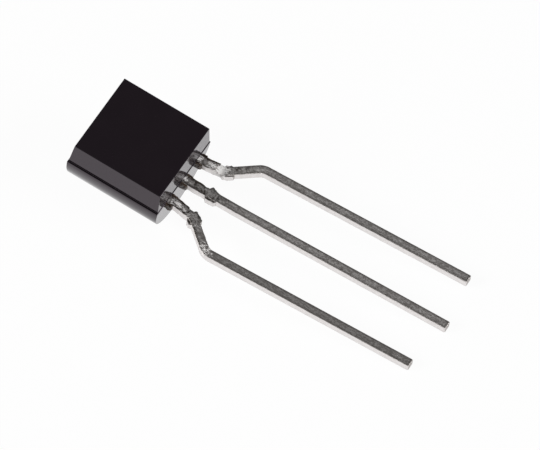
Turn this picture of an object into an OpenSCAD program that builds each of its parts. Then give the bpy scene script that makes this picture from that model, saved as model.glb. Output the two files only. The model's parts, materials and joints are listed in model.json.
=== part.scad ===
// Three-lead voltage regulator in a small half-round moulded package.
// The body lies on its round back, and the leads run along +X and come down to the table at their tips.
// Own frame of the package: leads along +X from the body's lead end at x = 0, parting plane of the
// moulding and upper face of the leads at z = 0, flat face up. lay_down() then sets it on the table.

/* [Moulded body] */
// Width across the round half, at the parting plane
body_w = 4.6; // [4.2:0.05:5.2]
// Height along the leads, at the parting plane
body_h = 4.76; // [4.6:0.02:5.4]
// Depth of the front half, from the parting plane to the flat face
front_depth = 1.25; // [1.1:0.05:1.6]
// Straight wall of the round half, below the parting plane
back_wall = 0.19; // [0.1:0.01:0.4]
// Step of the parting line along the two sides, where the front half stands inside the round half
ledge = 0.06; // [0.05:0.01:0.12]
// Step of the parting line at the two ends
end_ledge = 0.03; // [0.03:0.01:0.12]
// Sideways mismatch of the two mould halves, by which the front half is off the middle
mould_shift = 0.02; // [0:0.01:0.04]
// Draft of the four sides of the front half, in degrees
front_draft = 5; // [1:0.5:8]
// Draft of the two ends of the round half, in degrees
back_draft = 2; // [0.5:0.5:4]
// Diameter of the ejector pin's mark on the round back
ejector_d = 1.2; // [0.8:0.1:1.6]
// Depth of the ejector pin's mark at the crown of the back
ejector_depth = 0.06; // [0.03:0.01:0.1]
// Width of the broken gate on the top end
gate_w = 0.9; // [0.5:0.1:1.4]
// Thickness of the broken gate, below the parting plane
gate_t = 0.22; // [0.1:0.02:0.3]
// Length that the broken gate stands out
gate_stub = 0.06; // [0.03:0.01:0.12]

/* [Resin bled along the leads] */
// Width of the resin collar at each lead's root
collar_w = 0.72; // [0.7:0.02:1.0]
// Length of the collar along the lead
collar_len = 0.34; // [0.2:0.02:0.4]
// Radius of the collar's two outer corners
collar_r = 0.13; // [0.06:0.01:0.15]

/* [Leads] */
// Width of a lead
lead_w = 0.43; // [0.36:0.01:0.51]
// Thickness of a lead
lead_t = 0.38; // [0.3:0.01:0.46]
// Length of each lead outside the body, along its middle line
lead_len = 13.7; // [8:0.1:16]
// Spacing of the leads where they leave the body
root_pitch = 1.27; // [1.2:0.01:1.4]
// Spacing of the leads at their tips
tip_pitch = 2.54; // [2.2:0.02:2.9]
// Distance from the body to where the outer leads begin to lean outwards
splay_start = 0.42; // [0.41:0.01:0.6]
// Angle of that lean, in degrees
splay = 9; // [2:1:15]
// Distance along the outer leads from the body to their outward bend
form_start = 1.2; // [0.9:0.01:2.4]
// Angle of the leads after the outward bend, in degrees
form_angle = 40; // [25:1:60]
// Radius of the outward and return bends, at the middle of the lead
form_r = 0.6; // [0.4:0.05:0.8]
// Lift of the leads towards the flat face, in degrees
rise = 3.2; // [0.5:0.1:5]
// Distance from the body to the lift
rise_start = 0.46; // [0.42:0.01:0.6]
// Width across the sheared remains of the dam bar
dambar_w = 0.66; // [0.54:0.02:0.8]
// Distance from the body to the remains of the dam bar
dambar_at = 1.22; // [0.8:0.02:2]
// Length of the remains of the dam bar
dambar_len = 0.6; // [0.3:0.05:0.8]
// Length over which each end of those remains narrows to the lead
dambar_taper = 0.14; // [0.05:0.01:0.14]

/* [Inside the body] */
// Distance from the lead end to the bonding posts of the outer leads
post_at = 0.9; // [0.6:0.05:1.2]
// Length of a bonding post
post_len = 0.9; // [0.6:0.05:1.1]
// Width of a bonding post
post_w = 0.95; // [0.7:0.05:1.1]
// Distance from the lead end to the die pad of the middle lead
pad_at = 2.2; // [2.1:0.05:2.4]
// Length of the die pad
pad_len = 1.7; // [1.4:0.05:1.9]
// Width of the die pad
pad_w = 1.9; // [1.4:0.05:2.4]
// Side of the silicon die
die_w = 1.1; // [0.7:0.05:1.3]
// Thickness of the silicon die
die_t = 0.22; // [0.15:0.01:0.3]
// Thickness of the solder under the die
attach_t = 0.03; // [0.02:0.005:0.06]
// Width of the solder fillet all round the die
attach_rim = 0.06; // [0.02:0.01:0.1]
// Diameter of a bond wire
wire_d = 0.05; // [0.03:0.005:0.06]
// Height of a bond wire's arch over the line between its ends
wire_loop = 0.34; // [0.25:0.01:0.4]
// Diameter of the ball and stitch at a bond wire's ends
bond_d = 0.14; // [0.12:0.01:0.18]
// Height of the ball and stitch
bond_h = 0.07; // [0.065:0.005:0.09]
// Distance of the bond from the edges of the die
bond_in = 0.18; // [0.12:0.01:0.25]

/* [Hidden] */
$fn = 64;

// Sides of the package on which the three leads lie
output_side = -1;
ground_side = 0;
input_side = 1;

// Extent of the two halves of the moulding
back_r = body_w / 2;
back_depth = back_wall + back_r;
front_inset = front_depth * tan(front_draft);
back_inset = back_depth * tan(back_draft);

// Upper and lower face of a lead beyond the lift, at a distance from the body
function lead_top(x) = (x - rise_start) * tan(rise);
function lead_under(x) = lead_top(x) - lead_t / cos(rise);

// Distance past every tip, to which the profile of the leads runs
lead_end = 2 * lead_len;

// Length and direction along a bend, and the offset along one that turns the lead from one heading to another
function arc_len(angle) = form_r * angle * PI / 180;
function arc_angle(length) = length / form_r * 180 / PI;
function dir(angle) = [cos(angle), sin(angle)];
function turn(from, to) = sign(to - from) * form_r * [sin(to) - sin(from), cos(from) - cos(to)];

// Formed path of an outer lead, as lengths along it from the body: it leans out, bends and turns back
splay_end = splay_start + arc_len(splay);
lean_len = form_start - splay_end;
slope_start = form_start + arc_len(form_angle - splay);
form_offset = tip_pitch - root_pitch - 2 * form_r * (1 - cos(form_angle)) - lean_len * sin(splay);
form_slope = form_offset / sin(form_angle);
slope_end = slope_start + form_slope;
form_end = slope_end + arc_len(form_angle);
bends = [[splay_start, splay_end], [form_start, slope_start], [slope_end, form_end]];
bend_steps = 12;
bend_stations = [for (bend = bends, i = [0 : bend_steps]) bend[0] + (bend[1] - bend[0]) * i / bend_steps];

// Places on that path, measured from where the lead leaves the body
lean_at = [splay_start, 0] + turn(0, splay);
bend_at = lean_at + lean_len * dir(splay);
slope_at = bend_at + turn(splay, form_angle);
back_at = slope_at + form_slope * dir(form_angle);
straight_at = back_at + turn(form_angle, 0);

// Points that touch the table: the lead end of the round back, and the lower edge of the middle lead's tip
heel_x = -back_inset;
heel_z = -back_depth;
toe_x = lead_len;
toe_z = lead_under(toe_x);
rest_tilt = atan2(toe_z - heel_z, toe_x - heel_x);

// Ends of the package along the table, measured from the heel
near_end = -(body_h - 2 * back_inset) * cos(rest_tilt);
far_end = (toe_x - heel_x) * cos(rest_tilt) + (lead_top(toe_x) - heel_z) * sin(rest_tilt);

// Places of the inner pieces
pad_mid_x = -pad_at - pad_len / 2;
post_mid_x = -post_at - post_len / 2;
die_top = attach_t + die_t;
bond_off = die_w / 2 - bond_in;

// Small overlap that keeps joined solids and cuts from sharing a face
over = 0.02;

// Sets the package down on its heel and toe, with the origin under the middle of its length
module lay_down() {
    translate([-(near_end + far_end) / 2, 0, 0])
        rotate([0, rest_tilt, 0])
            translate([-heel_x, 0, -heel_z])
                children();
}

// Prism across the package, from an outline of [x, z] points
module across(outline) {
    rotate([90, 0, 0])
        translate([0, 0, -body_w])
            linear_extrude(2 * body_w)
                polygon(outline);
}

// Prism along the package, from an outline of [y, z] points
module along(outline) {
    translate([-2 * body_h, 0, 0])
        rotate([90, 0, 90])
            linear_extrude(3 * body_h)
                polygon(outline);
}

// Front half: a flat face with four drafted sides, reaching a little below the parting plane
module front_half() {
    half_w = body_w / 2 - ledge;
    intersection() {
        translate([0, mould_shift, 0])
            along([
                [-half_w, -over],
                [half_w, -over],
                [half_w, 0],
                [half_w - front_inset, front_depth],
                [-half_w + front_inset, front_depth],
                [-half_w, 0],
            ]);
        across([
            [-body_h + end_ledge, -over],
            [-end_ledge, -over],
            [-end_ledge, 0],
            [-end_ledge - front_inset, front_depth],
            [-body_h + end_ledge + front_inset, front_depth],
            [-body_h + end_ledge, 0],
        ]);
    }
}

// Round half: short straight walls and a half cylinder, between two drafted ends
module back_half() {
    intersection() {
        union() {
            translate([-body_h, -back_r, -back_wall])
                cube([body_h, body_w, back_wall]);
            difference() {
                translate([-body_h, 0, -back_wall])
                    rotate([0, 90, 0])
                        cylinder(r = back_r, h = body_h);
                translate([-2 * body_h, -body_w, -back_wall])
                    cube([3 * body_h, 2 * body_w, 2 * back_r]);
            }
        }
        across([
            [-body_h, over],
            [-body_h, 0],
            [-body_h + back_inset, -back_depth],
            [-back_inset, -back_depth],
            [0, 0],
            [0, over],
        ]);
    }
}

// Resin that bled past the lead end beside one lead, as thick as the lead
module collar(side) {
    translate([0, side * root_pitch, -lead_t]) {
        translate([-over - lead_t * tan(back_draft), -collar_w / 2, 0])
            cube([collar_len - collar_r + over + lead_t * tan(back_draft), collar_w, lead_t]);
        translate([0, -collar_w / 2 + collar_r, 0])
            cube([collar_len, collar_w - 2 * collar_r, lead_t]);
        for (edge = [-1, 1])
            translate([collar_len - collar_r, edge * (collar_w / 2 - collar_r), 0])
                cylinder(r = collar_r, h = lead_t);
    }
}

// Break of the moulding gate, on the top end under the parting plane
module gate() {
    translate([-body_h - gate_stub, -gate_w / 2, -gate_t])
        cube([2 * gate_stub, gate_w, gate_t]);
}

// Flat spot that the ejector pin leaves on the crown of the back
module ejector_mark() {
    translate([-body_h / 2, 0, -back_depth - over])
        cylinder(d = ejector_d, h = ejector_depth + over);
}

// Heading of an outer lead's middle line at a station measured from the body
function heading(s) =
    s < splay_start ? 0
    : s < splay_end ? arc_angle(s - splay_start)
    : s < form_start ? splay
    : s < slope_start ? splay + arc_angle(s - form_start)
    : s < slope_end ? form_angle
    : s < form_end ? form_angle - arc_angle(s - slope_end)
    : 0;

// Middle line of an outer lead at a station, measured from its place at the body
function path(s) =
    s < splay_start ? [s, 0]
    : s < splay_end ? [splay_start, 0] + turn(0, heading(s))
    : s < form_start ? lean_at + (s - splay_end) * dir(splay)
    : s < slope_start ? bend_at + turn(splay, heading(s))
    : s < slope_end ? slope_at + (s - slope_start) * dir(form_angle)
    : s < form_end ? back_at + turn(form_angle, heading(s))
    : straight_at + [s - form_end, 0];

// Edge of a lead at a station, offset sideways from its middle line
function edge(side, s, offset) =
    side == 0 ? [s, offset]
    : let (p = path(s) + side * offset * [-sin(heading(s)), cos(heading(s))]) [p.x, side * (root_pitch + p.y)];

// Stations between two ends of a lead's outline: the ends, and those on its bends between them
function stations(from, to) = concat([from], [for (s = bend_stations) if (s > from && s < to) s], [to]);

// Outline along a lead through some stations, with half its width at each
module strip(side, stops, half_widths) {
    polygon(concat(
        [for (i = [0 : len(stops) - 1]) edge(side, stops[i], -half_widths[i])],
        [for (i = [len(stops) - 1 : -1 : 0]) edge(side, stops[i], half_widths[i])]
    ));
}

// Outline of a lead's own width, from its end inside the body to its tip
module shank(side, inner_len) {
    stops = stations(-inner_len, lead_len);
    strip(side, stops, [for (s = stops) lead_w / 2]);
}

// Outline of the sheared remains of the dam bar, narrowing into the lead at both ends
module dambar(side) {
    dambar_end = dambar_at + dambar_len;
    full = stations(dambar_at + dambar_taper, dambar_end - dambar_taper);
    strip(
        side,
        concat([dambar_at], full, [dambar_end]),
        concat([lead_w / 2 - over], [for (s = full) dambar_w / 2], [lead_w / 2 - over])
    );
}

// Lead from its end inside the body to its tip: the outline seen from above, cut to the profile seen
// from the side. Children are the outline of the pad or post that widens its inner end.
module lead(side, inner_len) {
    intersection() {
        translate([0, 0, -back_depth])
            linear_extrude(2 * back_depth + lead_len)
                union() {
                    shank(side, inner_len);
                    dambar(side);
                    children();
                }
        across([
            [-body_h, 0],
            [rise_start, 0],
            [lead_end, lead_top(lead_end)],
            [lead_end, lead_under(lead_end)],
            [rise_start + lead_t * tan(rise / 2), -lead_t],
            [-body_h, -lead_t],
        ]);
    }
}

// Outer lead with its bonding post
module post_lead(side) {
    lead(side, post_at + post_len)
        translate([-post_at - post_len, side * root_pitch - post_w / 2])
            square([post_len, post_w]);
}

// Middle lead with the die pad
module pad_lead() {
    lead(ground_side, pad_at + pad_len)
        translate([-pad_at - pad_len, -pad_w / 2])
            square([pad_len, pad_w]);
}

// Solder between the pad and the die
module attach_block() {
    side = die_w + 2 * attach_rim;
    translate([pad_mid_x - side / 2, -side / 2, 0])
        cube([side, side, attach_t]);
}

// Silicon die
module die_block() {
    translate([pad_mid_x - die_w / 2, -die_w / 2, attach_t])
        cube([die_w, die_w, die_t]);
}

// Bond wire from a corner of the die to the post on one side: ball, arch and stitch
module wire(side) {
    start = [pad_mid_x + bond_off, side * bond_off, die_top + bond_h / 2];
    end = [post_mid_x, side * root_pitch, bond_h / 2];
    reach = norm([end.x - start.x, end.y - start.y]);
    chord = norm(end - start);
    heading = atan2(end.y - start.y, end.x - start.x);
    slope = atan2(end.z - start.z, reach);
    arch_r = chord * chord / (8 * wire_loop) + wire_loop / 2;
    half_sweep = asin(chord / 2 / arch_r);
    for (at = [start, end])
        translate([at.x, at.y, at.z - bond_h / 2])
            cylinder(d = bond_d, h = bond_h, $fn = 24);
    translate(start)
        rotate([0, 0, heading])
            rotate([90, -slope, 0])
                translate([chord / 2, wire_loop - arch_r, 0])
                    rotate([0, 0, 90 - half_sweep])
                        rotate_extrude(angle = 2 * half_sweep)
                            translate([arch_r, 0])
                                circle(d = wire_d, $fn = 24);
}

// Everything that the resin is moulded round
module inlay() {
    pad_lead();
    post_lead(output_side);
    post_lead(input_side);
    attach_block();
    die_block();
    wire(output_side);
    wire(input_side);
}

module body() {
    color([0.11, 0.1, 0.11])
        lay_down()
            difference() {
                union() {
                    front_half();
                    back_half();
                    gate();
                    for (side = [output_side, ground_side, input_side])
                        collar(side);
                }
                ejector_mark();
                inlay();
            }
}

module lead_output() {
    color([0.6, 0.59, 0.57])
        lay_down()
            post_lead(output_side);
}

module lead_ground() {
    color([0.6, 0.59, 0.57])
        lay_down()
            pad_lead();
}

module lead_input() {
    color([0.6, 0.59, 0.57])
        lay_down()
            post_lead(input_side);
}

module die_attach() {
    color([0.7, 0.7, 0.68])
        lay_down()
            attach_block();
}

module die() {
    color([0.35, 0.36, 0.4])
        lay_down()
            die_block();
}

module wire_output() {
    color([0.9, 0.7, 0.3])
        lay_down()
            wire(output_side);
}

module wire_input() {
    color([0.9, 0.7, 0.3])
        lay_down()
            wire(input_side);
}

body();
lead_output();
lead_ground();
lead_input();
die_attach();
die();
wire_output();
wire_input();
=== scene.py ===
import json
import math

import bpy
from mathutils import Matrix, Vector


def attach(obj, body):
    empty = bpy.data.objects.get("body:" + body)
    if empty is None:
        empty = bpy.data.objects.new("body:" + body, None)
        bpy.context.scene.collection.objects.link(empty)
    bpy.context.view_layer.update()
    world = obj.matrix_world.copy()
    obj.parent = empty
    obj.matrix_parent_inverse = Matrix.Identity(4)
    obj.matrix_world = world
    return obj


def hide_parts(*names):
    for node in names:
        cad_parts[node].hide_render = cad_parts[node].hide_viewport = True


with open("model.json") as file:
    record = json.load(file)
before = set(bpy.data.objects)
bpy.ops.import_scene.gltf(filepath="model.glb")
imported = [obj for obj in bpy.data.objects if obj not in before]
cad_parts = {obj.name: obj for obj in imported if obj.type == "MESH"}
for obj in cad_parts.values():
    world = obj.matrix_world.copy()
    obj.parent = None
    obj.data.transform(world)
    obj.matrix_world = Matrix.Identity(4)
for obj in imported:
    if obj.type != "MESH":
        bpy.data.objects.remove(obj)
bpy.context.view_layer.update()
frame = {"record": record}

# Moulded body
# Black silica-filled epoxy, transfer moulded round the lead strip in a two-part mould. The front half
# is a drafted block with the flat face; the round half is wider by a small step, and the two meet at
# a sharp parting line, a little off each other sideways.
mm = 0.001
hair = 0.0001 * mm
body_h = 4.76 * mm
body_w = 4.6 * mm
back_wall = 0.19 * mm
back_r = body_w / 2
back_depth = back_wall + back_r
back_draft = math.radians(2)
front_depth = 1.25 * mm
front_draft = math.radians(5)
front_inset = front_depth * math.tan(front_draft)
ledge = 0.06 * mm
end_ledge = 0.03 * mm
front_l = body_h - 2 * end_ledge
front_w = body_w - 2 * ledge
mould_shift = 0.02 * mm
sunk = 0.02 * mm
mould_edge = 0.02 * mm
mould_edge_angle = 35
sharp_angle = 40


def start_piece(name):
    """Names the primitive just added and goes into edit mode on it."""
    piece = bpy.context.view_layer.objects.active
    piece.name = name
    piece.data.name = name
    bpy.ops.object.transform_apply(location=True, rotation=True, scale=True)
    bpy.ops.object.mode_set(mode="EDIT")
    bpy.ops.mesh.select_mode(type="FACE")
    return piece


def start_box(name, size, centre):
    """Adds a box at its size and place and goes into edit mode on it."""
    bpy.ops.object.select_all(action="DESELECT")
    bpy.ops.mesh.primitive_cube_add(size=1, location=centre)
    bpy.context.object.scale = size
    return start_piece(name)


def pick(piece, wanted):
    """Selects, in edit mode, the faces whose centre and normal pass a test."""
    bpy.ops.mesh.select_all(action="DESELECT")
    bpy.ops.object.mode_set(mode="OBJECT")
    for face in piece.data.polygons:
        face.select = wanted(face.center, face.normal)
    bpy.ops.object.mode_set(mode="EDIT")


def cut_off(point, outward):
    """Cuts away all that lies past a plane and closes the cut."""
    bpy.ops.mesh.select_all(action="SELECT")
    bpy.ops.mesh.bisect(plane_co=point, plane_no=outward, use_fill=True, clear_outer=True, threshold=1e-9)


bpy.ops.object.select_all(action="DESELECT")
bpy.ops.mesh.primitive_cylinder_add(
    vertices=160, radius=back_r, depth=body_h,
    location=(-body_h / 2, 0, -back_wall), rotation=(0, math.pi / 2, 0))
body = start_piece("moulded_body")
cut_off((0, 0, -back_wall), (0, 0, 1))
pick(body, lambda centre, normal: normal.z > 0.9 and abs(centre.z + back_wall) < hair)
bpy.ops.mesh.extrude_region_move(TRANSFORM_OT_translate={"value": (0, 0, back_wall)})
for end_x, out in ((0, 1), (-body_h, -1)):
    cut_off((end_x, 0, 0), (out * math.cos(back_draft), 0, -math.sin(back_draft)))
bpy.ops.object.mode_set(mode="OBJECT")

front = start_box(
    "front_half", (front_l, front_w, front_depth + sunk),
    (-body_h / 2, mould_shift, (front_depth - sunk) / 2))
pick(front, lambda centre, normal: normal.z > 0.9)
bpy.ops.transform.resize(
    value=(1 - 2 * front_inset / front_l, 1 - 2 * front_inset / front_w, 1),
    center_override=(-body_h / 2, mould_shift, front_depth))
bpy.ops.object.mode_set(mode="OBJECT")

# Break of the mould gate on the top end, a ragged stub under the parting line
gate_w = 0.9 * mm
gate_t = 0.22 * mm
gate_stub = 0.06 * mm
gate_len = 1.9 * gate_stub
gate_drop = 0.01 * mm
gate_tear = 0.055 * mm
gate_middle = (-body_h, 0, -gate_t / 2)
gate = start_box("gate_break", (gate_len, gate_w, gate_t), gate_middle)
bpy.ops.mesh.select_all(action="SELECT")
bpy.ops.mesh.subdivide(number_cuts=7)
pick(gate, lambda centre, normal: normal.x < -0.9)
bpy.ops.transform.vertex_random(offset=gate_tear, seed=4)
bpy.ops.object.mode_set(mode="OBJECT")
for vertex in gate.data.vertices:
    vertex.co.x = max(vertex.co.x, -body_h - gate_stub)
    vertex.co.z = min(vertex.co.z, -gate_drop)

# Flat round spot where the ejector pin pushed the body out of the mould
ejector_d = 1.2 * mm
ejector_depth = 0.06 * mm
bpy.ops.object.select_all(action="DESELECT")
bpy.ops.mesh.primitive_cylinder_add(
    vertices=64, radius=ejector_d / 2, depth=2 * ejector_depth, location=(-body_h / 2, 0, -back_depth))
ejector = start_piece("ejector_pin")
bpy.ops.object.mode_set(mode="OBJECT")


def round_edges(piece, name, width, angle):
    """Adds a small round to every edge of a piece that turns by more than an angle in degrees."""
    rounding = piece.modifiers.new(name, "BEVEL")
    rounding.width = width
    rounding.segments = 3
    rounding.limit_method = "ANGLE"
    rounding.angle_limit = math.radians(angle)
    return rounding


def finish_modifiers(piece):
    """Applies every modifier of a piece in order."""
    bpy.ops.object.select_all(action="DESELECT")
    piece.select_set(True)
    bpy.context.view_layer.objects.active = piece
    for modifier in list(piece.modifiers):
        bpy.ops.object.modifier_apply(modifier=modifier.name)


def smooth(piece, angle):
    """Shades a piece smooth up to an angle in degrees, its broad faces staying flat."""
    bpy.ops.object.shade_smooth_by_angle(angle=math.radians(angle))
    even = piece.modifiers.new("broad faces flat", "WEIGHTED_NORMAL")
    even.keep_sharp = True
    even.weight = 100
    finish_modifiers(piece)


for tool, operation in ((front, "UNION"), (gate, "UNION"), (ejector, "DIFFERENCE")):
    join = body.modifiers.new(tool.name, "BOOLEAN")
    join.object = tool
    join.operation = operation
    join.solver = "EXACT"
    if tool == front:
        round_edges(body, "mould edges", mould_edge, mould_edge_angle)
finish_modifiers(body)
for tool in (front, gate, ejector):
    bpy.data.objects.remove(tool, do_unlink=True)
smooth(body, sharp_angle)

# The package is modelled square to itself, its leads along +X from the lead end and its parting plane
# at z = 0. It lies on its round back and its lead tips, so every finished piece is tipped over by the
# slope of the flat face, which the frame gives.
flat_face = next(m for m in frame["record"]["mounts"] if m["name"] == "flat_face")
tip_over = math.atan2(flat_face["axis"][0], flat_face["axis"][2])
lay_down = (
    Matrix.Translation(flat_face["pos_m"])
    @ Matrix.Rotation(tip_over, 4, "Y")
    @ Matrix.Translation((body_h / 2, -mould_shift, -front_depth))
)


def lay(piece):
    """Tips a finished piece over to where it lies, with its place in its mesh."""
    bpy.ops.object.select_all(action="DESELECT")
    piece.select_set(True)
    bpy.context.view_layer.objects.active = piece
    piece.matrix_world = lay_down @ piece.matrix_world
    bpy.ops.object.transform_apply(location=True, rotation=True, scale=True)


lay(body)


def new_group(name, sockets):
    """Starts a node group with its inputs, and returns it, those inputs and its mask to be filled."""
    group = bpy.data.node_groups.new(name, "ShaderNodeTree")
    for socket, kind in sockets:
        group.interface.new_socket(socket, in_out="INPUT", socket_type=kind)
    group.interface.new_socket("Mask", in_out="OUTPUT", socket_type="NodeSocketFloat")
    given = group.nodes.new("NodeGroupInput").outputs
    mask = group.nodes.new("NodeGroupOutput").inputs["Mask"]
    return group, given, mask


# Fine mottle that the moulding compound and the tin plate share: a soft cloud with a sharper grain
mottle, given, mask = new_group("mottle", (
    ("Cloud Scale", "NodeSocketFloat"), ("Grain Scale", "NodeSocketFloat"),
    ("Grain Share", "NodeSocketFloat"), ("Vector", "NodeSocketVector")))
blend = mottle.nodes.new("ShaderNodeMix")
for scale, detail, end in (("Cloud Scale", 3, "A"), ("Grain Scale", 2, "B")):
    noise = mottle.nodes.new("ShaderNodeTexNoise")
    noise.inputs["Detail"].default_value = detail
    mottle.links.new(given["Vector"], noise.inputs["Vector"])
    mottle.links.new(given[scale], noise.inputs["Scale"])
    mottle.links.new(noise.outputs["Fac"], blend.inputs[end])
mottle.links.new(given["Grain Share"], blend.inputs["Factor"])
mottle.links.new(blend.outputs["Result"], mask)


def add_mottle(tree, place, cloud_scale, grain_scale, grain_share):
    """Places the shared mottle in a material, with its own scales in cycles per metre."""
    patch = tree.nodes.new("ShaderNodeGroup")
    patch.node_tree = mottle
    patch.inputs["Cloud Scale"].default_value = cloud_scale
    patch.inputs["Grain Scale"].default_value = grain_scale
    patch.inputs["Grain Share"].default_value = grain_share
    tree.links.new(place, patch.inputs["Vector"])
    return patch.outputs["Mask"]


def add_range(tree, value, span, low=0, high=1):
    """Turns a value that runs over a span into a mask that runs from low to high."""
    remap = tree.nodes.new("ShaderNodeMapRange")
    remap.inputs["From Min"].default_value = span[0]
    remap.inputs["From Max"].default_value = span[1]
    remap.inputs["To Min"].default_value = low
    remap.inputs["To Max"].default_value = high
    tree.links.new(value, remap.inputs["Value"])
    return remap.outputs["Result"]


# Edge mask that the body and the leads share: how far a rounded corner would turn the surface
edge_samples = 6
edges, given, mask = new_group("edges", (("Radius", "NodeSocketFloat"),))
rounded = edges.nodes.new("ShaderNodeBevel")
rounded.samples = edge_samples
agree = edges.nodes.new("ShaderNodeVectorMath")
agree.operation = "DOT_PRODUCT"
edges.links.new(given["Radius"], rounded.inputs["Radius"])
edges.links.new(rounded.outputs["Normal"], agree.inputs[0])
edges.links.new(edges.nodes.new("ShaderNodeNewGeometry").outputs["Normal"], agree.inputs[1])
edges.links.new(add_range(edges, agree.outputs["Value"], (1, 0.96)), mask)


def add_edges(tree, radius):
    """Places the shared edge mask in a material."""
    patch = tree.nodes.new("ShaderNodeGroup")
    patch.node_tree = edges
    patch.inputs["Radius"].default_value = radius
    return patch.outputs["Mask"]


def new_finish(name):
    """Makes a material and returns it with its tree, its shader and its object coordinates."""
    material = bpy.data.materials.new(name)
    material.use_nodes = True
    tree = material.node_tree
    shader = tree.nodes["Principled BSDF"]
    place = tree.nodes.new("ShaderNodeTexCoord").outputs["Object"]
    return material, tree, shader, place


def add_mix(tree, mask, colour, other):
    """Mixes a plain colour over another colour where a mask is high."""
    mix = tree.nodes.new("ShaderNodeMix")
    mix.data_type = "RGBA"
    mix.inputs["B"].default_value = (*colour, 1)
    tree.links.new(mask, mix.inputs["Factor"])
    tree.links.new(other, mix.inputs["A"])
    return mix.outputs["Result"]


def add_swap(tree, mask, number, other):
    """Sets a plain number in place of another value where a mask is high."""
    mix = tree.nodes.new("ShaderNodeMix")
    mix.inputs["B"].default_value = number
    tree.links.new(mask, mix.inputs["Factor"])
    tree.links.new(other, mix.inputs["A"])
    return mix.outputs["Result"]


def add_math(tree, operation, first, second):
    """Works out one mask from two others."""
    result = tree.nodes.new("ShaderNodeMath")
    result.operation = operation
    tree.links.new(first, result.inputs[0])
    tree.links.new(second, result.inputs[1])
    return result.outputs[0]


def add_ramp(tree, mask, span, low_colour, high_colour):
    """Turns a mask that runs over a span into a colour between two ends."""
    ramp = tree.nodes.new("ShaderNodeValToRGB")
    for stop, position, colour in zip(ramp.color_ramp.elements, span, (low_colour, high_colour)):
        stop.position = position
        stop.color = (*colour, 1)
    tree.links.new(mask, ramp.inputs["Fac"])
    return ramp.outputs["Color"]


def add_bump(tree, shader, mask, height):
    """Raises a mask as fine relief."""
    bump = tree.nodes.new("ShaderNodeBump")
    bump.inputs["Distance"].default_value = height
    bump.inputs["Strength"].default_value = 1
    tree.links.new(mask, bump.inputs["Height"])
    tree.links.new(bump.outputs["Normal"], shader.inputs["Normal"])


def add_split(tree, vector):
    """Splits a vector into its X, Y and Z."""
    parts = tree.nodes.new("ShaderNodeSeparateXYZ")
    tree.links.new(vector, parts.inputs[0])
    return parts.outputs


def add_facing(tree):
    """Gives the X, Y and Z of the way that the surface faces."""
    return add_split(tree, tree.nodes.new("ShaderNodeNewGeometry").outputs["Normal"])


def add_stretch(tree, place, scale):
    """Scales the coordinates by axis, so that what is drawn on them is stretched."""
    mapping = tree.nodes.new("ShaderNodeMapping")
    mapping.inputs["Scale"].default_value = scale
    tree.links.new(place, mapping.inputs["Vector"])
    return mapping.outputs["Vector"]


def add_reach(tree, place, point):
    """Measures the distance from a point of the package, given as before it is laid down."""
    reach = tree.nodes.new("ShaderNodeVectorMath")
    reach.operation = "DISTANCE"
    reach.inputs[1].default_value = lay_down @ Vector(point)
    tree.links.new(place, reach.inputs[0])
    return reach.outputs["Value"]


def dress(piece, finish):
    """Gives a piece one finish all over."""
    piece.data.materials.clear()
    piece.data.materials.append(finish)


whole = (0, 1)
black = (0.0042, 0.0027, 0.0037)
cloudy_black = (0.0058, 0.0038, 0.0051)
rubbed_black = (0.018, 0.0165, 0.018)
lead_end_grey = (0.03, 0.027, 0.031)
gate_grey = (0.035, 0.032, 0.031)
gate_rough = 0.6
round_half_shine = 0.25
resin, tree, shader, place = new_finish("black_epoxy")
shader.inputs["IOR"].default_value = 1.51
shader.inputs["Coat Roughness"].default_value = 0.05
shader.inputs["Specular Tint"].default_value = (1, 0.8, 0.97, 1)
cloudy = add_mottle(tree, place, cloud_scale=900, grain_scale=30000, grain_share=0.35)
tint = add_ramp(tree, cloudy, (0.35, 0.7), black, cloudy_black)
rubbed = add_mix(tree, add_edges(tree, 0.05 * mm), rubbed_black, tint)
facing = add_facing(tree)
lead_end = add_range(tree, facing["X"], (0.7, 0.95))
from_gate = add_reach(tree, add_stretch(tree, place, (1, 0.3, 1)), gate_middle)
broken = add_range(tree, from_gate, (0.17 * mm, 0.14 * mm))
frosted_end = add_mix(tree, lead_end, lead_end_grey, rubbed)
gate_scar = add_mix(tree, broken, gate_grey, frosted_end)
tree.links.new(gate_scar, shader.inputs["Base Color"])
freckled = add_mottle(tree, place, cloud_scale=7000, grain_scale=26000, grain_share=0.5)
speckle = add_range(tree, freckled, (0.4, 0.6), 0.17, 0.43)
shine = add_math(tree, "MULTIPLY", lead_end, speckle)
drafted_up = add_range(tree, facing["Z"], (-0.236, -0.116), low=round_half_shine)
tree.links.new(add_math(tree, "MULTIPLY", shine, drafted_up), shader.inputs["Coat Weight"])
grained = add_swap(tree, broken, gate_rough, add_range(tree, cloudy, whole, 0.05, 0.14))
tree.links.new(grained, shader.inputs["Roughness"])
grainy = add_mottle(tree, place, cloud_scale=9000, grain_scale=45000, grain_share=0.5)
add_bump(tree, shader, grainy, 0.0003 * mm)
dress(body, resin)
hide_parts("body")
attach(body, "root")

# Resin bled along the leads
# Where the leads leave the mould, some resin flows out beside them up to the dam bar. It sets as a dark
# brown crust on both sides of each root, as thick as the lead and ragged at its end, and leaves the
# lead's top bare.
lead_w = 0.43 * mm
lead_t = 0.38 * mm
root_pitch = 1.27 * mm
splay_start = 0.42 * mm
splay = math.radians(9)
collar_w = 0.66 * mm
collar_len = 0.34 * mm
collar_sunk = 0.1 * mm
collar_taper = (1, 0.8, 0.86)
collar_rough = 0.055 * mm
collar_free_from = 0.02 * mm
crust_height = 0.03 * mm
crust_gap = 0.02 * mm
bare_depth = 0.012 * mm
crust_fall = 0.08
flash_len = 0.98 * mm
flash_w = 0.09 * mm
flash_gap = 0.01 * mm
flash_rough = 0.03 * mm
flash_thinning = 0.04 * mm
dark_brown = (0.008, 0.005, 0.0035)
pale_brown = (0.12, 0.08, 0.056)
bleed_resin, tree, shader, place = new_finish("bled_resin")
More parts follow.
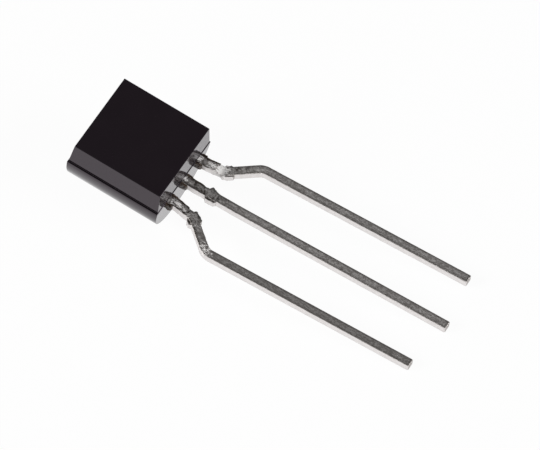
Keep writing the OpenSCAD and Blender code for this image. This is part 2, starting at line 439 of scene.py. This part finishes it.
shader.inputs["IOR"].default_value = 1.5
crust = add_mottle(tree, place, cloud_scale=6000, grain_scale=26000, grain_share=0.5)
brown = add_ramp(tree, crust, (0.4, 0.68), dark_brown, pale_brown)
tree.links.new(brown, shader.inputs["Base Color"])
tree.links.new(add_range(tree, crust, whole, 0.05, 0.3), shader.inputs["Roughness"])
add_bump(tree, shader, crust, 0.04 * mm)
for name, side, seed in (("bleed_output", -1, 3), ("bleed_ground", 0, 8), ("bleed_input", 1, 15)):
    root_y = side * root_pitch
    bleed = start_box(
        name, (collar_len + collar_sunk, collar_w, lead_t),
        ((collar_len - collar_sunk) / 2, root_y, -lead_t / 2))
    bpy.ops.mesh.select_all(action="SELECT")
    bpy.ops.mesh.subdivide(number_cuts=6)
    pick(bleed, lambda centre, normal: normal.x > 0.9)
    bpy.ops.transform.resize(value=collar_taper, center_override=(collar_len, root_y, -lead_t / 2))
    pick(bleed, lambda centre, normal: centre.x > collar_free_from)
    bpy.ops.transform.vertex_random(offset=collar_rough, uniform=0.3, seed=seed)
    bpy.ops.object.mode_set(mode="OBJECT")
    for vertex in bleed.data.vertices:
        vertex.co.x = min(vertex.co.x, collar_len)
        beside = abs(vertex.co.y - root_y) - lead_w / 2
        crest = (crust_height if beside > crust_gap else -bare_depth) - crust_fall * vertex.co.x
        vertex.co.z = min(max(vertex.co.z, -lead_t), crest)
    flash = start_box(
        "flash", (flash_len, flash_w, lead_t / 2),
        (flash_len / 2, root_y + lead_w / 2 + flash_gap, -lead_t / 4))
    bpy.ops.mesh.select_all(action="SELECT")
    bpy.ops.mesh.subdivide(number_cuts=9)
    bpy.ops.transform.vertex_random(offset=flash_rough, uniform=0.2, seed=seed)
    bpy.ops.object.mode_set(mode="OBJECT")
    for vertex in flash.data.vertices:
        thin = flash_thinning * max(vertex.co.x / flash_len, 0)
        vertex.co.z = min(vertex.co.z, 0) - 0.4 * thin
        vertex.co.y += side * math.tan(splay) * max(vertex.co.x - splay_start, 0) - 0.6 * thin
    bleed.select_set(True)
    bpy.context.view_layer.objects.active = bleed
    bpy.ops.object.join()
    flow = bleed.modifiers.new("flow", "SUBSURF")
    flow.levels = 2
    flow.render_levels = 2
    finish_modifiers(bleed)
    bpy.ops.object.shade_smooth()
    lay(bleed)
    dress(bleed, bleed_resin)
    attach(bleed, "root")

# Leads
# Three legs sheared from one flat metal strip and tin plated. The outer two are pressed outwards to a
# wider pitch; each keeps the stubs of the dam bar that tied the strip together until it was trimmed.
# Inside the resin the middle lead widens to the die pad and the outer ones to bonding posts.
lead_len = 13.7 * mm
tip_pitch = 2.54 * mm
tip_break = 0.05 * mm
tip_taper = 0.88
form_start = 1.2 * mm
form_angle = math.radians(40)
form_r = 0.6 * mm
rise = math.radians(3.2)
rise_start = 0.46 * mm
dambar_at = 1.22 * mm
dambar_len = 0.6 * mm
dambar_wing = (0.66 * mm - lead_w) / 2
after_dambar = 1.4 * mm
stub_taper = 0.3
stub_tear = 0.02 * mm
thorn_high = 1.7 * dambar_wing
thorn_fall = 2 * dambar_wing
thorn_low = 0.1 * dambar_wing
sheared_edge = 0.03 * mm
lean_len = form_start - splay_start - form_r * splay
form_offset = tip_pitch - root_pitch - 2 * form_r * (1 - math.cos(form_angle)) - lean_len * math.sin(splay)
form_slope = form_offset / math.sin(form_angle)
straight_len = lead_len - form_start - form_r * (2 * form_angle - splay) - form_slope
bend_x = splay_start + lean_len * math.cos(splay)
bend_y = root_pitch + form_r + lean_len * math.sin(splay)
back_x = bend_x + 2 * form_r * math.sin(form_angle) + form_slope * math.cos(form_angle)
back_y = tip_pitch - form_r
knee = back_x - rise_start
outer_edge = tip_pitch + lead_w / 2 - hair

# Tin plate: streaked along the lead, paler on its sheared sides, dark along its rubbed edges, darker along
# the lower edges of its flanks, soiled and filmed with resin near the body, with painted shade on the
# output lead's top and painted highlights as white spots on the bends, stubs and roots. The spans in X
# and Y are places on the table.
plate_dark = (0.53, 0.495, 0.475)
plate_bright = (1, 0.965, 0.945)
painted_shade_grey = (0.3, 0.28, 0.262)
side_grey = (0.77, 0.74, 0.735)
foot_line_grey = (0.42, 0.4, 0.39)
rubbed_grey = (0.27, 0.25, 0.235)
soil_brown = (0.15, 0.135, 0.125)
film_brown = (0.06, 0.043, 0.035)
painted_glint_white = (1, 0.99, 0.98)
cut_grey = (0.42, 0.39, 0.375)
root_x = (-2.9 * mm, -3.3 * mm)
handled_x = (-1.2 * mm, -2.6 * mm)
output_y = (-1.2 * mm, -2 * mm)
input_y = (0.3 * mm, 1 * mm)
tin, tree, shader, place = new_finish("tin_plate")
axes = add_split(tree, place)
facing = add_facing(tree)
upward = add_range(tree, facing["Z"], (0.3, 0.8))
sideways = add_range(tree, facing["Z"], (0.6, 0.3), high=0.8)
near_root = add_range(tree, axes["X"], root_x)
rolled = add_stretch(tree, place, (0.45, 1, 1))
streaks = add_mottle(tree, rolled, cloud_scale=8000, grain_scale=21000, grain_share=0.6)
plate = add_ramp(tree, streaks, (0.41, 0.59), plate_dark, plate_bright)
# Painted shade: the top of the output lead is darkened as if it caught less light
output_shade = add_range(tree, axes["Y"], output_y, high=0.34)
shade_painted = add_mix(tree, add_math(tree, "MULTIPLY", output_shade, upward), painted_shade_grey, plate)
sides = add_mix(tree, sideways, side_grey, shade_painted)
# Darker line along the lower edge of each flank, where its rounded corner turns under
rounded_under = tree.nodes.new("ShaderNodeBevel")
rounded_under.samples = edge_samples
rounded_under.inputs["Radius"].default_value = 0.07 * mm
under = add_split(tree, rounded_under.outputs["Normal"])
droop = add_math(tree, "SUBTRACT", facing["Z"], under["Z"])
lower_edge = add_range(tree, droop, (0.1, 0.4))
foot_lined = add_mix(tree, add_math(tree, "MULTIPLY", lower_edge, sideways), foot_line_grey, sides)
top_edges = add_math(tree, "MULTIPLY", add_edges(tree, 0.2 * mm), upward)
rubbed = add_mix(tree, top_edges, rubbed_grey, foot_lined)
handled_top = add_math(tree, "MULTIPLY", add_range(tree, axes["X"], handled_x), upward)
blotched = add_mottle(tree, place, cloud_scale=4500, grain_scale=12000, grain_share=0.45)
stained = add_math(tree, "MULTIPLY", handled_top, add_range(tree, blotched, (0.48, 0.6)))
soiled = add_mix(tree, stained, soil_brown, rubbed)
filmed = add_mix(tree, add_math(tree, "MULTIPLY", top_edges, near_root), film_brown, soiled)

# Each painted highlight: its middle on the lead, how far it reaches, and how strong it is there
painted_glints = None
for middle, reach, glint_strength in (
    ((1.18 * mm, root_pitch + 0.08 * mm, -0.16 * mm), 0.56 * mm, 1),
    ((0.7 * mm, root_pitch + 0.05 * mm, 0), 0.5 * mm, 0.68),
    ((back_x - 0.3 * mm, tip_pitch - 0.3 * mm, 0.1 * mm), 0.35 * mm, 0.45),
    ((0.9 * mm, -root_pitch - 0.08 * mm, 0), 0.5 * mm, 0.36),
    ((1.6 * mm, -root_pitch - 0.45 * mm, 0.05 * mm), 0.6 * mm, 0.36),
    ((back_x - 0.24 * mm, -tip_pitch + 0.08 * mm, 0), 0.62 * mm, 0.56),
    ((1.2 * mm, -root_pitch - 0.36 * mm, 0.02 * mm), 0.13 * mm, 1),
    ((0.06 * mm, root_pitch, 0), 0.26 * mm, 0.7),
    ((0.06 * mm, 0, 0), 0.26 * mm, 0.7),
    ((0.06 * mm, -root_pitch, 0), 0.26 * mm, 0.4),
    ((0.28 * mm, -root_pitch, 0), 0.4 * mm, 0.52),
    ((0.48 * mm, -root_pitch - 0.01 * mm, 0), 0.4 * mm, 0.52),
    ((0.68 * mm, -root_pitch - 0.04 * mm, 0), 0.4 * mm, 0.52),
    ((0.88 * mm, -root_pitch - 0.07 * mm, 0), 0.4 * mm, 0.46),
):
    painted_glint = add_range(tree, add_reach(tree, place, middle), (reach, 0), high=glint_strength)
    painted_glints = add_math(tree, "MAXIMUM", painted_glints, painted_glint) if painted_glints else painted_glint
# Painted highlights: the spots and the brightest streaks turn white, rough and less metallic, so they stay
# bright from every side
ragged = tree.nodes.new("ShaderNodeMath")
ragged.operation = "MULTIPLY_ADD"
ragged.inputs[1].default_value = 2
tree.links.new(streaks, ragged.inputs[0])
tree.links.new(painted_glints, ragged.inputs[2])
glint_mask = add_range(tree, ragged.outputs[0], (1.3, 1.66))
glint_painted = add_mix(tree, glint_mask, painted_glint_white, filmed)
cut_end = add_range(tree, facing["X"], (0.7, 0.85))
tree.links.new(add_mix(tree, cut_end, cut_grey, glint_painted), shader.inputs["Base Color"])
patchy = add_mottle(tree, place, cloud_scale=1700, grain_scale=9000, grain_share=0.4)
input_side = add_range(tree, axes["Y"], input_y, low=0.25)
frosted = add_math(tree, "MULTIPLY", input_side, add_range(tree, patchy, (0.48, 0.58)))
frosted_root = add_math(tree, "MULTIPLY", near_root, frosted)
dulled = add_swap(tree, frosted_root, 0.85, add_range(tree, streaks, whole, 0.32, 0.5))
tree.links.new(add_swap(tree, glint_mask, 1, dulled), shader.inputs["Roughness"])
tree.links.new(add_range(tree, glint_mask, whole, 1, 0.5), shader.inputs["Metallic"])
pitted = add_mottle(tree, place, cloud_scale=9000, grain_scale=26000, grain_share=0.6)
add_bump(tree, shader, pitted, 0.012 * mm)

# Marks of the press that formed the leads: fine dents near the body, and one deep dent on the input lead
dents = bpy.data.textures.new("press_dents", "CLOUDS")
dents.noise_scale = 0.085 * mm
dents.noise_depth = 1
dents_depth = 0.045 * mm
dents_from = 0.1 * mm
dents_fade_in = 0.2 * mm
dents_fade_out = 0.9 * mm
dents_past = 0.5 * mm
deep_at = 1.16 * mm
deep_half = 0.3 * mm
deep_depth = 0.15 * mm
deep_edge = root_pitch + 0.15 * mm + lead_w / 2
deep_skin = -0.1 * mm


def push(distance, heading, steps=1):
    """Extrudes the end of the lead straight on."""
    ahead = (distance / steps * math.cos(heading), distance / steps * math.sin(heading), 0)
    for step in range(steps):
        bpy.ops.mesh.extrude_region_move(TRANSFORM_OT_translate={"value": ahead})


def bend(angle, x, y, steps):
    """Turns the end of the lead about an upright pin."""
    bpy.ops.mesh.spin(steps=steps, angle=angle, center=(x, y, 0), axis=(0, 0, 1))


def heading_at(point, side):
    """The way that a lead points beside a point, as an angle from the body's axis."""
    if side == 0 or point.x < splay_start:
        return 0
    turned = math.atan2(point.x - bend_x, bend_y - side * point.y)
    return min(max(turned, splay), form_angle)


def travelled(point, side):
    """The distance from the body to a point, measured along its lead."""
    heading = heading_at(point, side)
    if heading == 0:
        return point.x
    ahead = point.x - bend_x - form_r * math.sin(heading)
    aside = side * point.y - bend_y + form_r * math.cos(heading)
    return form_start + form_r * (heading - splay) + ahead * math.cos(heading) + aside * math.sin(heading)


def widen(piece, side, low, high, wing):
    """Extrudes both flanks of the lead outwards between two distances from the body."""
    pick(piece, lambda centre, normal:
         low < travelled(centre, side) < high and abs(normal.z) < 0.1 and abs(normal.y) > 0.5)
    bpy.ops.mesh.extrude_region_shrink_fatten(TRANSFORM_OT_shrink_fatten={"value": wing})


def share_of(part, length):
    """How much of a length a part of it makes, from 0 to 1."""
    return min(max(part / length, 0), 1)


# A stub's corners are ordered by their distance from the cursor, off to one side so that no two tie
bpy.context.scene.cursor.location = (-7.3 * mm, 3.1 * mm, 11.9 * mm)
for name, node, side, inner, inner_wing, inner_from, stub_len, stub_wing, worked_to, seed, dip, lift in (
    ("output_lead", "lead_output", -1, 1.8 * mm, 0.26 * mm, 0.9 * mm,
     0.8 * dambar_len, dambar_wing, 2.8 * mm, 2, 0.25 * mm, 0),
    ("ground_lead", "lead_ground", 0, 3.9 * mm, 0.735 * mm, 2.2 * mm,
     dambar_len, dambar_wing, 1.8 * mm, 5, 0.06 * mm, 0.03 * mm),
    ("input_lead", "lead_input", 1, 1.8 * mm, 0.26 * mm, 0.9 * mm,
     0.8 * dambar_len, 0.6 * dambar_wing, 1.6 * mm, 7, 0.22 * mm, 0.1 * mm),
):
    bpy.ops.object.select_all(action="DESELECT")
    bpy.ops.mesh.primitive_grid_add(
        x_subdivisions=4, y_subdivisions=6, size=1,
        location=(-inner, side * root_pitch, -lead_t / 2), rotation=(0, math.pi / 2, 0))
    bpy.context.object.scale = (lead_t, lead_w, 1)
    lead = start_piece(name)
    bpy.ops.mesh.select_all(action="SELECT")
    push(inner - inner_from, 0)
    push(inner_from, 0)
    push(splay_start, 0, 6)
    if side == 0:
        push(dambar_at - splay_start, 0, 10)
        push(dambar_len, 0, 8)
        push(after_dambar, 0, 14)
        push(lead_len - tip_break - dambar_at - dambar_len - after_dambar, 0)
    else:
        bend(-side * splay, splay_start, side * (root_pitch + form_r), 2)
        push(lean_len, side * splay, 9)
        bend(-side * (form_angle - splay), bend_x, side * bend_y, 6)
        push(form_slope, side * form_angle, 20)
        bend(side * form_angle, back_x, side * back_y, 8)
        push(straight_len - tip_break, 0)
    push(tip_break, 0)
    bpy.ops.transform.resize(
        value=(1, tip_taper, tip_taper), center_override=(0, side * tip_pitch, -lead_t / 2))
    bpy.ops.mesh.select_all(action="SELECT")
    bpy.ops.mesh.remove_doubles(threshold=1e-8)
    bpy.ops.mesh.normals_make_consistent(inside=False)
    bpy.ops.object.mode_set(mode="OBJECT")
    round_edges(lead, "sheared edges", sheared_edge, sharp_angle).use_clamp_overlap = False
    finish_modifiers(lead)

    # Dam bar stubs, tapered towards their sheared ends, with a torn thorn on the middle lead. Extruding
    # numbers its new corners differently from run to run, so they are put in order before the tear.
    bpy.ops.object.mode_set(mode="EDIT")
    widen(lead, side, dambar_at, dambar_at + stub_len, stub_wing)
    bpy.ops.object.mode_set(mode="OBJECT")
    for vertex in lead.data.vertices:
        if vertex.select:
            heading = heading_at(vertex.co, side)
            pull = stub_taper * (dambar_at + stub_len / 2 - travelled(vertex.co, side))
            vertex.co.x += pull * math.cos(heading)
            vertex.co.y += side * pull * math.sin(heading)
    bpy.ops.object.mode_set(mode="EDIT")
    bpy.ops.mesh.sort_elements(type="CURSOR_DISTANCE", elements={"VERT"})
    bpy.ops.transform.vertex_random(offset=stub_tear, seed=seed)
    bpy.ops.object.mode_set(mode="OBJECT")
    for vertex in lead.data.vertices:
        if side == 0 and vertex.select and vertex.co.y > 0:
            torn = (vertex.co.x - dambar_at) / dambar_len
            vertex.co.y = lead_w / 2 + max(thorn_high - thorn_fall * torn, thorn_low)
    bpy.ops.object.mode_set(mode="EDIT")
    widen(lead, side, -inner, -inner_from, inner_wing)
    bpy.ops.object.mode_set(mode="OBJECT")

    # Rise of the leads from the body's axis, sag at the second bend, and the press marks
    worked = lead.vertex_groups.new(name="worked")
    for vertex in lead.data.vertices:
        along = vertex.co.x
        fade_in = share_of(along - dents_from, dents_fade_in)
        fade_out = share_of(worked_to + dents_past - along, dents_fade_out)
        worked.add([vertex.index], fade_in * fade_out, "REPLACE")
        past = along - rise_start
        if past > 0:
            up = vertex.co.z
            vertex.co.x = rise_start + past * math.cos(rise) - up * math.sin(rise)
            vertex.co.z = past * math.sin(rise) + up * math.cos(rise)
            run = (past - knee) / (lead_len - rise_start - knee)
            vertex.co.z += run * (dip + lift) - dip if run > 0 else -dip * past / knee
        if side == 1 and abs(along - deep_at) < deep_half and vertex.co.z > deep_skin:
            pressed = math.cos((along - deep_at) / deep_half * math.pi / 2) ** 2
            vertex.co.z -= deep_depth * pressed * share_of(deep_edge - vertex.co.y, lead_w)
    hammer = lead.modifiers.new("press dents", "DISPLACE")
    hammer.texture = dents
    hammer.texture_coords = "LOCAL"
    hammer.vertex_group = "worked"
    hammer.strength = dents_depth
    hammer.mid_level = 0.55
    finish_modifiers(lead)
    for vertex in lead.data.vertices:
        vertex.co.y = min(max(vertex.co.y, -outer_edge), outer_edge)
    smooth(lead, sharp_angle)
    lay(lead)
    dress(lead, tin)
    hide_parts(node)
    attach(lead, "root")

# Die, solder and bond wires
# The silicon die is soldered on the pad of the middle lead, and a gold wire is bonded from it to
# each outer post. All of it is sealed in the resin, so the plain solids stay, with their own finishes.
inside_span = (0.3, 0.7)
silicon, tree, shader, place = new_finish("silicon")
shader.inputs["Metallic"].default_value = 0.4
polish = add_mottle(tree, place, cloud_scale=3000, grain_scale=20000, grain_share=0.3)
slate = add_ramp(tree, polish, inside_span, (0.14, 0.15, 0.18), (0.2, 0.21, 0.25))
tree.links.new(slate, shader.inputs["Base Color"])
solder, tree, shader, place = new_finish("solder")
shader.inputs["Metallic"].default_value = 1
frost = add_mottle(tree, place, cloud_scale=5000, grain_scale=30000, grain_share=0.5)
grey = add_ramp(tree, frost, inside_span, (0.45, 0.45, 0.44), (0.62, 0.62, 0.6))
tree.links.new(grey, shader.inputs["Base Color"])
tree.links.new(add_range(tree, frost, whole, 0.3, 0.5), shader.inputs["Roughness"])
gold, tree, shader, place = new_finish("gold_wire")
shader.inputs["Metallic"].default_value = 1
drawn = add_mottle(tree, place, cloud_scale=9000, grain_scale=60000, grain_share=0.4)
yellow = add_ramp(tree, drawn, inside_span, (0.75, 0.5, 0.18), (0.9, 0.66, 0.28))
tree.links.new(yellow, shader.inputs["Base Color"])
tree.links.new(add_range(tree, drawn, whole, 0.2, 0.34), shader.inputs["Roughness"])
for node, finish in (("die", silicon), ("die_attach", solder), ("wire_output", gold), ("wire_input", gold)):
    dress(bpy.data.objects[node], finish)

# Table and light
# A plain white table, which the glossy resin and the leads mirror, under a studio dome that is bright
# round the horizon and dark overhead, so that the flat face stays black. Two soft lamps stand aside.
bpy.ops.object.select_all(action="DESELECT")
bpy.ops.mesh.primitive_plane_add(size=2, location=(0, 0, 0))
table = bpy.context.object
table.name = "table"
paper, tree, shader, place = new_finish("white_table")
shader.inputs["Base Color"].default_value = (0.9, 0.9, 0.9, 1)
shader.inputs["Roughness"].default_value = 0.9
shader.inputs["Specular IOR Level"].default_value = 0.1
rays = tree.nodes.new("ShaderNodeLightPath").outputs
seen = add_math(tree, "MAXIMUM", rays["Is Camera Ray"], rays["Is Glossy Ray"])
seen = add_math(tree, "MAXIMUM", seen, rays["Is Transmission Ray"])
glow = tree.nodes.new("ShaderNodeEmission")
glow.inputs["Strength"].default_value = 1
backdrop = tree.nodes.new("ShaderNodeMixShader")
tree.links.new(add_range(tree, seen, whole, high=0.95), backdrop.inputs["Fac"])
tree.links.new(shader.outputs[0], backdrop.inputs[1])
tree.links.new(glow.outputs[0], backdrop.inputs[2])
tree.links.new(backdrop.outputs[0], tree.nodes["Material Output"].inputs["Surface"])
table.data.materials.append(paper)


def add_towards(tree, sky, direction):
    """Measures how near the sky is to a direction, from -1 to 1."""
    towards = tree.nodes.new("ShaderNodeVectorMath")
    towards.operation = "DOT_PRODUCT"
    towards.inputs[1].default_value = direction
    tree.links.new(sky, towards.inputs[0])
    return towards.outputs["Value"]


dome = bpy.data.worlds.new("dome")
bpy.context.scene.world = dome
dome.use_nodes = True
tree = dome.node_tree
sky = tree.nodes.new("ShaderNodeTexCoord").outputs["Generated"]
walls = add_ramp(tree, add_towards(tree, sky, (0, 0.4, 0.92)), (0.12, 0.5), (1, 1, 1), (0.05, 0.05, 0.05))
panel = add_range(tree, add_towards(tree, sky, (0, 0.47, 0.883)), (0.86, 0.96), high=0.195)
both = tree.nodes.new("ShaderNodeVectorMath")
both.operation = "ADD"
tree.links.new(walls, both.inputs[0])
tree.links.new(panel, both.inputs[1])
tree.links.new(both.outputs["Vector"], tree.nodes["Background"].inputs["Color"])
tree.nodes["Background"].inputs["Strength"].default_value = 0.8

for name, stand, size, power in (
    ("left_lamp", (-0.35, -0.3, 0.3), 0.25, 2.2),
    ("right_lamp", (0.45, 0.05, 0.3), 0.25, 1.6),
):
    lamp = bpy.data.lights.new(name, "AREA")
    lamp.size = size
    lamp.energy = power
    holder = bpy.data.objects.new(name, lamp)
    holder.location = stand
    holder.rotation_euler = (-Vector(stand)).to_track_quat("-Z", "Y").to_euler()
    bpy.context.collection.objects.link(holder)

# Camera
# A long lens well back from the part, looking down at it from the lead tips' right and rolled a little,
# so that the body stands at the upper left and the leads run out to the lower right.
view_azimuth = math.radians(35.18)
view_elevation = math.radians(55.01)
view_roll = math.radians(-5.15)
view_distance = 402.8 * mm
aim = Vector((0.069 * mm, 0.185 * mm, 1.537 * mm))
turn = (
    Matrix.Rotation(view_azimuth, 4, "Z")
    @ Matrix.Rotation(math.pi / 2 - view_elevation, 4, "X")
    @ Matrix.Rotation(view_roll, 4, "Z")
)
lens = bpy.data.cameras.new("camera")
lens.sensor_width = 36
lens.sensor_fit = "HORIZONTAL"
lens.lens = 602.8
lens.clip_start = 0.01
lens.clip_end = 20
camera = bpy.data.objects.new("camera", lens)
camera.matrix_world = Matrix.Translation(aim) @ turn @ Matrix.Translation((0, 0, view_distance))
bpy.context.collection.objects.link(camera)
bpy.context.scene.camera = camera
bpy.context.scene.view_settings.view_transform = "Standard"
